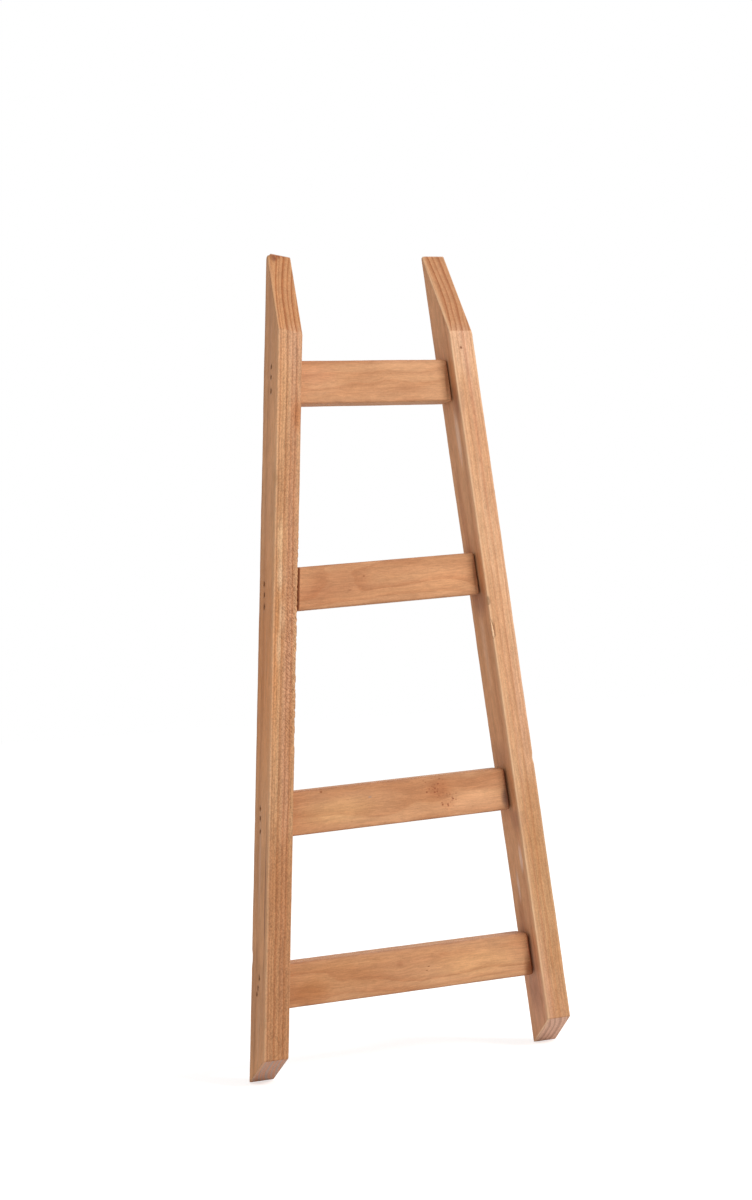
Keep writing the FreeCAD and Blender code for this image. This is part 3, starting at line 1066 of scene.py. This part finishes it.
# Each spot is placed on the face that shows it, in the ladder's own axes, and reaches so many
# millimetres along the grain and across it. Its share says how strong it is.
Spot = namedtuple("Spot", "point along across shade share")
SPOTS = {
    "lower_rung": (
        Spot((0.0600, RUNG_FRONT, 0.4050), 26, 22, "russet", 0.50),
        Spot((0.0745, RUNG_FRONT, 0.3830), 18, 14, "russet", 0.40),
        Spot((-0.1270, RUNG_FRONT, 0.4151), 3.2, 2.2, "knot", 0.85),
        Spot((-0.0505, RUNG_FRONT, 0.4015), 4.0, 2.4, "speck", 0.55),
        Spot((-0.1000, RUNG_FRONT, 0.3850), 80, 26, "straw", 0.5),
        # Painted shade at the rung's right end, where it meets the right stile.
        Spot((0.1700, RUNG_FRONT, 0.3820), 9, 22, "joint_painted_shade", 0.66),
        Spot((0.1720, RUNG_FRONT, 0.3950), 6, 44, "joint_painted_shade_edge", 0.43),
        Spot((0.1150, RUNG_FRONT, 0.3800), 75, 30, "buttery", 0.5),
    ),
    "upper_rung": (
        Spot((-0.0379, RUNG_FRONT, 0.7291), 3.0, 1.8, "knot", 0.8),
        Spot((-0.0616, RUNG_FRONT, 0.7093), 4.0, 2.0, "knot", 0.5),
        Spot((-0.1150, RUNG_FRONT, 0.7050), 45, 22, "tawny", 0.5),
        Spot((0.0900, RUNG_FRONT, 0.7200), 70, 28, "golden", 0.5),
        Spot((-0.0800, RUNG_FRONT, 0.7200), 80, 36, "brown", 0.47),
        # Painted shade at the rung's right end, where it meets the right stile.
        Spot((0.1430, RUNG_FRONT, 0.7250), 4, 40, "end_painted_shade", 0.6),
    ),
    "bottom_rung": (
        Spot((-0.0196, RUNG_FRONT, 0.1516), 9.0, 7.0, "knot_ring", 0.35),
        Spot((0.0263, RUNG_FRONT, 0.1430), 3.0, 1.2, "knot", 0.8),
        Spot((0.0230, RUNG_FRONT, 0.1375), 3.0, 1.2, "knot", 0.7),
        Spot((-0.1650, RUNG_FRONT, 0.1250), 50, 24, "dusky", 0.55),
        Spot((0.1100, RUNG_FRONT, 0.1400), 90, 30, "wheat", 0.6),
        # Painted shade at the rung's right end, where it meets the right stile.
        Spot((0.1915, RUNG_FRONT, 0.1150), 11, 40, "bottom_joint_painted_shade", 0.8),
        Spot((-0.1200, RUNG_FRONT, 0.1450), 110, 40, "sandy", 0.35),
    ),
    "top_rung": (
        Spot((-0.0950, RUNG_FRONT, 1.0300), 50, 22, "pinkish", 0.5),
        # Painted shade at the rung's right end, where it meets the right stile.
        Spot((0.1175, RUNG_FRONT, 1.0230), 4, 40, "top_end_painted_shade", 0.6),
    ),
    "right_stile": (
        Spot((0.1350, STILE_FRONT, 1.0750), 60, 30, "pale", 0.25),
        Spot((0.1358, STILE_FRONT, 1.0686), 3.8, 2.4, "knot", 0.95),
        Spot((0.1587, 0.0000, 0.6200), 240, 60, "tan", 0.4),
        # Painted shade: the front darker towards the foot, where the light falls off down the
        # ladder.
        Spot((0.2150, STILE_FRONT, 0.2400), 330, 40, "ochre", 0.5),
        Spot((0.1870, -0.0170, 0.2894), 30, 7, "greyed", 1.0),
        Spot((0.1909, 0.0050, 0.2443), 34, 6, "greyed", 0.9),
        Spot((0.2060, 0.0000, 0.0900), 130, 60, "blush", 0.6),
        Spot((0.2060, 0.0080, 0.1300), 80, 8, "silvered", 0.8),
        Spot((0.1592, 0.0020, 0.6130), 90, 12, "greyed", 0.2),
        Spot((0.1310, -0.0100, 0.9350), 60, 10, "greyed", 0.6),
        # Painted shade on the inner face, just below and above the joints with the rungs.
        Spot((0.1271, -0.0236, 0.9867), 40, 24, "rosy", 0.6),
        Spot((0.1530, 0.0000, 0.6850), 36, 40, "rosy", 0.55),
        Spot((0.1830, -0.0200, 0.3480), 26, 30, "rosy", 0.45),
        Spot((0.1810, 0.0000, 0.4500), 36, 40, "rosy", 0.4),
        Spot((0.2060, 0.0000, 0.0800), 40, 30, "rosy", 0.4),
    ),
    "left_stile": (
        Spot((-0.1950, 0.0000, 0.6000), 260, 60, "amber", 0.5),
        Spot((-0.1580, 0.0000, 1.0000), 200, 60, "sunny", 0.4),
        Spot((-0.1350, 0.0300, 1.2130), 12, 8, "tar", 0.75),
        Spot((-0.1270, 0.0300, 1.2180), 9, 4, "tar", 0.8),
        Spot((-0.1200, 0.0300, 1.2190), 7, 4, "tar", 0.75),
        Spot((-0.1120, 0.0300, 1.2190), 6, 3, "tar", 0.6),
        Spot((-0.2330, -0.0050, 0.0800), 120, 13, "silvered", 1.0),
        Spot((-0.2330, 0.0190, 0.1000), 150, 15, "rosy", 0.5),
        Spot((-0.2300, -0.0210, 0.1200), 140, 9, "rosy", 0.5),
        Spot((-0.2200, 0.0040, 0.3100), 120, 8, "silvered", 0.55),
        Spot((-0.1900, -0.0050, 0.6200), 150, 7, "silvered", 0.2),
        Spot((-0.1500, 0.0000, 1.0600), 110, 9, "silvered", 0.5),
        Spot((-0.1280, STILE_FRONT, 1.0700), 60, 34, "pale", 0.28),
        Spot((-0.1337, STILE_FRONT, 0.9684), 36, 14, "orange", 0.6),
        Spot((-0.1725, STILE_FRONT, 0.7857), 44, 8, "ivory", 0.45),
        # Painted shade: the front darker towards the foot, where the light falls off down the
        # ladder.
        Spot((-0.2240, STILE_FRONT, 0.2000), 330, 50, "darker", 0.5),
        Spot((-0.2241, -0.0230, 0.2700), 160, 2.8, "knot", 0.85),
        Spot((-0.2200, 0.0240, 0.2600), 200, 13, "rosy", 0.4),
        Spot((-0.1860, -0.0240, 0.6500), 80, 2.2, "knot", 0.35),
        Spot((-0.1775, STILE_FRONT, 0.6750), 38, 6, "cream", 0.45),
        Spot((-0.1760, STILE_FRONT, 0.7350), 34, 7, "cream", 0.45),
        Spot((-0.1860, STILE_FRONT, 0.6300), 36, 5, "cream", 0.35),
    ),
}
SPOT_DEPTH = 14.0           # millimetres into the board

# Clusters of pips.
Cluster = namedtuple("Cluster", "point along across share")
CLUSTERS = {
    "lower_rung": (
        Cluster((0.0540, RUNG_FRONT, 0.4080), 26, 20, 0.85),
        Cluster((0.0745, RUNG_FRONT, 0.3860), 22, 18, 0.7),
    ),
}

# Knots that the grain parts round.
Swirl = namedtuple("Swirl", "point reach")
SWIRLS = {
    "lower_rung": (Swirl((0.0620, RUNG_FRONT, 0.4000), 26),),
    "bottom_rung": (Swirl((-0.0196, RUNG_FRONT, 0.1516), 14),),
    "top_rung": (Swirl((-0.0379, RUNG_FRONT, 1.0150), 16),),
    "upper_rung": (Swirl((-0.0616, RUNG_FRONT, 0.7093), 14),),
}


def in_board(board, point):
    """A point of the ladder as a place in a board, in millimetres."""
    return tuple(to_board(board, np.array(point))[0] / MM)


def spot_narrowing(board, spot):
    """How a spot's reach narrows along the grain and across it, keeping to its own face."""
    _, thick, wide = to_board(board, np.array(spot.point))[0]
    on_flat = board.half[0] - abs(thick) < board.half[1] - abs(wide)
    across, inward = 1 / spot.across, 1 / SPOT_DEPTH
    return (1 / spot.along, inward, across) if on_flat else (1 / spot.along, across, inward)


# ---------------------------------------------------------------- pine, as one board shows it

Wood = namedtuple("Wood", "board finish grain wear dirt flat sawn slope rings fibre stain tear")

# How squarely a face is sawn when its stain starts and ends to be a slanting cut's, and when it
# is that of a sawn end. A share says how much of a mask shows.
SLANTING = (0.05, 0.15)
SAWN_SQUARE = (0.28, 0.42)
SAWN_SHARE = 0.92
FLAT_SHARE = 0.8
CLOUD_SHARE = 0.55
SLOPE_SHARE = 0.85
DUCT_SHARE = 0.4
FLECK_TONE = 0.45
FLECK_STAIN = 0.8
SLOPE_NAP = 0.45
FUZZ_SHARE = 0.25
FUZZ_EDGE = (0.15, 0.75)

# How light a colour is where an effect is missing, and where it is full.
STREAK_TONES = (1.05, 0.94)
DASH_TONES = (1.06, 0.93)
PATCH_TONES = (1.04, 0.95)
END_TONES = (1.1, 0.88)
WEAR_IN_PATCHES = (0.7, 1.0)

ROUGHNESS = (0.52, 0.66)
SAWN_ROUGHNESS = 0.2
SPECULAR = 0.2
RING_HEIGHT = 0.35
TORN_HEIGHT = 2.2
RELIEF_STRENGTH = 0.35
RELIEF_HEIGHT = 0.25 * MM


def read_wood(tree, board, finish, log):
    """Everything that varies over a board: what its mesh stores, and the shared effects."""
    grain, marks, faces = (tree.node("Attribute", attribute_name=name).outputs["Vector"]
                           for name in ("grain", "marks", "faces"))
    wear, dirt, torn = tree.node("SeparateXYZ", {0: marks}).outputs
    flat, sawn, _ = tree.node("SeparateXYZ", {0: faces}).outputs
    flow = place_group(tree, "flow", Grain=grain, Shift=log.shift, Sway=log.sway)["Grain"]
    for swirl in SWIRLS.get(board.node, ()):
        flow = place_group(tree, "swirl", Grain=flow, Centre=in_board(board, swirl.point),
                           Reach=swirl.reach)["Grain"]
    return Wood(
        board, finish, grain, wear, dirt, flat, sawn,
        slope=tree.steps(sawn, *SLANTING),
        rings=place_group(tree, "rings", Grain=flow, Shift=log.shift, Pith=log.pith,
                          Ring_width=log.ring, Wander=log.wander),
        fibre=place_group(tree, "fibre", Grain=flow, Shift=log.shift),
        stain=place_group(tree, "stain", Grain=flow, Shift=log.shift),
        tear=place_group(tree, "torn", Grain=grain, Torn=torn))


def stained(tree, wood):
    """The stain that light wood took."""
    finish, stain = wood.finish, wood.stain
    colour = tree.blend(stain["Band"], finish.honey, finish.pink)
    colour = tree.tint(colour, wood.flat, FLAT_SHARE, finish.flat)
    colour = tree.tint(colour, stain["Cloud"], CLOUD_SHARE, finish.amber)
    return tree.tint(colour, wood.slope, SLOPE_SHARE, finish.slope)


def spotted(tree, wood, colour):
    """The board's spots, painted shade among them, and its clusters of pips."""
    board, grain = wood.board, wood.grain
    for spot in SPOTS.get(board.node, ()):
        mask = place_group(tree, "spot", Grain=grain, Centre=in_board(board, spot.point),
                           Narrowing=spot_narrowing(board, spot))["Mask"]
        colour = tree.tint(colour, mask, spot.share, SHADES[spot.shade])
    for cluster in CLUSTERS.get(board.node, ()):
        mask = place_group(tree, "pips", Grain=grain, Centre=in_board(board, cluster.point),
                           Narrowing=(1 / cluster.along, 0, 1 / cluster.across))["Mask"]
        colour = tree.tint(colour, mask, cluster.share, SHADES["pip"])
    return colour


def ringed(tree, wood, colour):
    """Late wood, stained darker."""
    finish = wood.finish
    share = tree.spread(wood.slope, finish.late_share, finish.slope_share)
    late = tree.math("MULTIPLY", wood.rings["Late wood"], share)
    return tree.blend(late, colour, tree.blend(wood.slope, finish.late, finish.slope_late))


def fibrous(tree, wood, colour):
    """Fibres, saw nap, torn flecks and resin ducts, lighter and darker than the wood."""
    finish, fibre, stain = wood.finish, wood.fibre, wood.stain
    tone = tree.spread(fibre["Streak"], *STREAK_TONES)
    tone = tree.math("MULTIPLY", tone, tree.spread(fibre["Dash"], *DASH_TONES))
    tone = tree.math("MULTIPLY", tone, tree.spread(stain["Patch"], *PATCH_TONES))
    nap = tree.math("SUBTRACT", 0.5, fibre["Nap"])
    nap = tree.math("MULTIPLY", nap, tree.spread(wood.flat, 2 * finish.nap, 0.5 * finish.nap))
    nap = tree.math("MULTIPLY", nap, tree.spread(wood.slope, 1.0, SLOPE_NAP))
    tone = tree.math("ADD", tone, nap)
    fleck = wood.tear["Fleck"]
    tone = tree.math("ADD", tone, tree.math("MULTIPLY", fleck, FLECK_TONE))
    colour = tree.scaled(colour, tone)
    dark_fleck = tree.math("MULTIPLY", fleck, -FLECK_STAIN, clamp=True)
    colour = tree.blend(dark_fleck, colour, finish.late)
    return tree.tint(colour, fibre["Duct"], DUCT_SHARE, finish.late)


def end_grain(tree, wood, colour):
    """Sawn ends, which take stain their own way."""
    finish, fibre = wood.finish, wood.fibre
    fuzz = tree.math("MULTIPLY_ADD", fibre["Dash"], FUZZ_SHARE, wood.rings["Late wood"])
    ends = tree.blend(tree.steps(fuzz, *FUZZ_EDGE), finish.cut, finish.cut_late)
    ends = tree.scaled(ends, tree.spread(fibre["Nap"], *END_TONES))
    return tree.blend(tree.steps(wood.sawn, *SAWN_SQUARE, 0.0, SAWN_SHARE), colour, ends)


def handled(tree, wood, colour):
    """Arrises in the worn colour, which on the rungs is darker than the wood, and dirt in what lies
    deep.
    """
    rubbed = tree.math("MULTIPLY", wood.wear,
                       tree.spread(wood.stain["Patch"], *WEAR_IN_PATCHES))
    colour = tree.tint(colour, rubbed, wood.finish.wear, wood.finish.worn)
    return tree.blend(wood.dirt, colour, SHADES["grime"])


def pine(name, board, finish, log):
    """Stained pine, as one board shows it."""
    material = bpy.data.materials.new(name)
    material.use_nodes = True
    tree = Tree(material.node_tree)
    wood = read_wood(tree, board, finish, log)
    colour = stained(tree, wood)
    for layer in (spotted, ringed, fibrous, end_grain, handled):
        colour = layer(tree, wood, colour)

    rough = tree.spread(wood.fibre["Dash"], *ROUGHNESS)
    sawn_rough = tree.math("MULTIPLY", wood.sawn, SAWN_ROUGHNESS)
    height = tree.math("MULTIPLY_ADD", wood.rings["Late wood"], RING_HEIGHT, wood.fibre["Height"])
    height = tree.math("MULTIPLY_ADD", wood.tear["Height"], TORN_HEIGHT, height)
    relief = tree.node("Bump", {"Strength": RELIEF_STRENGTH, "Distance": RELIEF_HEIGHT,
                                "Height": height})
    shader = material.node_tree.nodes["Principled BSDF"]
    tree.feed(shader.inputs["Base Color"], colour)
    tree.feed(shader.inputs["Roughness"], tree.math("ADD", rough, sawn_rough, clamp=True))
    tree.feed(shader.inputs["Normal"], relief.outputs[0])
    shader.inputs["Specular IOR Level"].default_value = SPECULAR
    return material


# ---------------------------------------------------------------- brads, of dull steel

BARE_STEEL = screen(120, 112, 104)
RUST = screen(92, 52, 30)
RUST_SCALE = 900.0
RUST_EDGE = (0.42, 0.60)
RUST_ROUGHNESS = (0.38, 0.8)
RUST_METAL = (0.9, 0.1)


def steel():
    """Drawn wire, dulled, with rust starting in it."""
    material = bpy.data.materials.new("dull_steel")
    material.use_nodes = True
    tree = Tree(material.node_tree)
    shader = material.node_tree.nodes["Principled BSDF"]
    place = tree.node("TexCoord").outputs["Object"]
    rust = tree.steps(tree.noise(place, 3.0, 0.6, scale=RUST_SCALE), *RUST_EDGE)
    tree.feed(shader.inputs["Base Color"], tree.blend(rust, BARE_STEEL, RUST))
    tree.feed(shader.inputs["Roughness"], tree.spread(rust, *RUST_ROUGHNESS))
    tree.feed(shader.inputs["Metallic"], tree.spread(rust, *RUST_METAL))
    return material


# ---------------------------------------------------------------- the ladder

for name in BOARDS:
    wood = make_board(boards[name])
    wood.data.materials.append(pine(name + "_pine", boards[name], FINISHES[name], LOGS[name]))

splintered = boards["right_stile"]
sliver = make_sliver(splintered, SPLINTERS["right_stile"][0])
sliver.data.materials.append(pine("fresh_pine", splintered, FRESH_PINE, LOGS["right_stile"]))

brad_steel = steel()
for rung in RUNGS:
    for side in SIDES:
        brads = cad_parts[f"{rung}_{side}_brads"]
        brads.data.materials.clear()
        brads.data.materials.append(brad_steel)


# ---------------------------------------------------------------- floor, light and camera

FLOOR_SIZE = 40.0
FLOOR_COLOUR = (0.86, 0.86, 0.86, 1)
FLOOR_GLOW = 0.50           # what the camera sees of a floor in full shadow
WHITE = (1, 1, 1, 1)
ROOM_LIGHT = 0.62
KEY_PLACE = (2.0, -2.8, 2.7)
KEY_TARGET = (0.0, 0.0, 0.70)
KEY_SIZE = 1.5
KEY_POWER = 92.0
CAMERA_PLACE = (-1.1219, -2.7466, 0.5896)
CAMERA_FORWARD = (0.3732, 0.9271, 0.0349)
CAMERA_RIGHTWARD = (0.9266, -0.3706, -0.0631)
SENSOR_HEIGHT = 36.0        # millimetres
CAMERA_LENS = 59.34         # millimetres


def white_floor():
    """A plain white floor, which keeps a faint shadow of the ladder."""
    mesh = bpy.data.meshes.new("floor")
    half = FLOOR_SIZE / 2
    mesh.from_pydata([(-half, -half, 0), (half, -half, 0), (half, half, 0), (-half, half, 0)],
                     [], [(0, 1, 2, 3)])
    floor = bpy.data.objects.new("floor", mesh)
    bpy.context.scene.collection.objects.link(floor)
    material = bpy.data.materials.new("white_floor")
    material.use_nodes = True
    tree = Tree(material.node_tree)
    material.node_tree.nodes.remove(material.node_tree.nodes["Principled BSDF"])
    matte = tree.node("BsdfDiffuse", {"Color": FLOOR_COLOUR}).outputs[0]
    level = tree.math("MULTIPLY", tree.node("LightPath").outputs["Is Camera Ray"], FLOOR_GLOW)
    glow = tree.node("Emission", {"Color": WHITE, "Strength": level}).outputs[0]
    both = tree.node("AddShader", {0: matte, 1: glow}).outputs[0]
    tree.feed(material.node_tree.nodes["Material Output"].inputs["Surface"], both)
    mesh.materials.append(material)


def white_room():
    """An even white room round the ladder. The camera sees it at full white."""
    world = bpy.data.worlds.new("white_room")
    world.use_nodes = True
    bpy.context.scene.world = world
    tree = Tree(world.node_tree)
    path = tree.node("LightPath").outputs
    seen = tree.math("MAXIMUM", path["Is Camera Ray"], path["Is Transmission Ray"])
    seen = tree.math("MAXIMUM", seen, path["Is Glossy Ray"])
    level = tree.math("MULTIPLY_ADD", seen, 1.0 - ROOM_LIGHT, ROOM_LIGHT)
    background = world.node_tree.nodes["Background"]
    background.inputs["Color"].default_value = WHITE
    tree.feed(background.inputs["Strength"], level)


def key_light():
    """A square soft light, above the camera's right."""
    lamp = bpy.data.lights.new("key", "AREA")
    lamp.size = KEY_SIZE
    lamp.energy = KEY_POWER
    light = bpy.data.objects.new("key", lamp)
    bpy.context.scene.collection.objects.link(light)
    light.location = KEY_PLACE
    towards = Vector(KEY_TARGET) - Vector(KEY_PLACE)
    light.rotation_euler = towards.to_track_quat("-Z", "Y").to_euler()


def set_camera():
    """A camera, from the directions that it looks in and that its picture's right is."""
    forward = Vector(CAMERA_FORWARD).normalized()
    rightward = Vector(CAMERA_RIGHTWARD)
    rightward = (rightward - forward * rightward.dot(forward)).normalized()
    upward = rightward.cross(forward)
    camera = bpy.data.objects.new("camera", bpy.data.cameras.new("camera"))
    bpy.context.scene.collection.objects.link(camera)
    turn = Matrix((rightward, upward, -forward)).transposed()
    camera.matrix_world = Matrix.Translation(Vector(CAMERA_PLACE)) @ turn.to_4x4()
    camera.data.sensor_fit = "VERTICAL"
    camera.data.sensor_height = SENSOR_HEIGHT
    camera.data.lens = CAMERA_LENS
    bpy.context.scene.camera = camera


white_floor()
white_room()
key_light()
set_camera()
bpy.context.scene.view_settings.view_transform = "Standard"
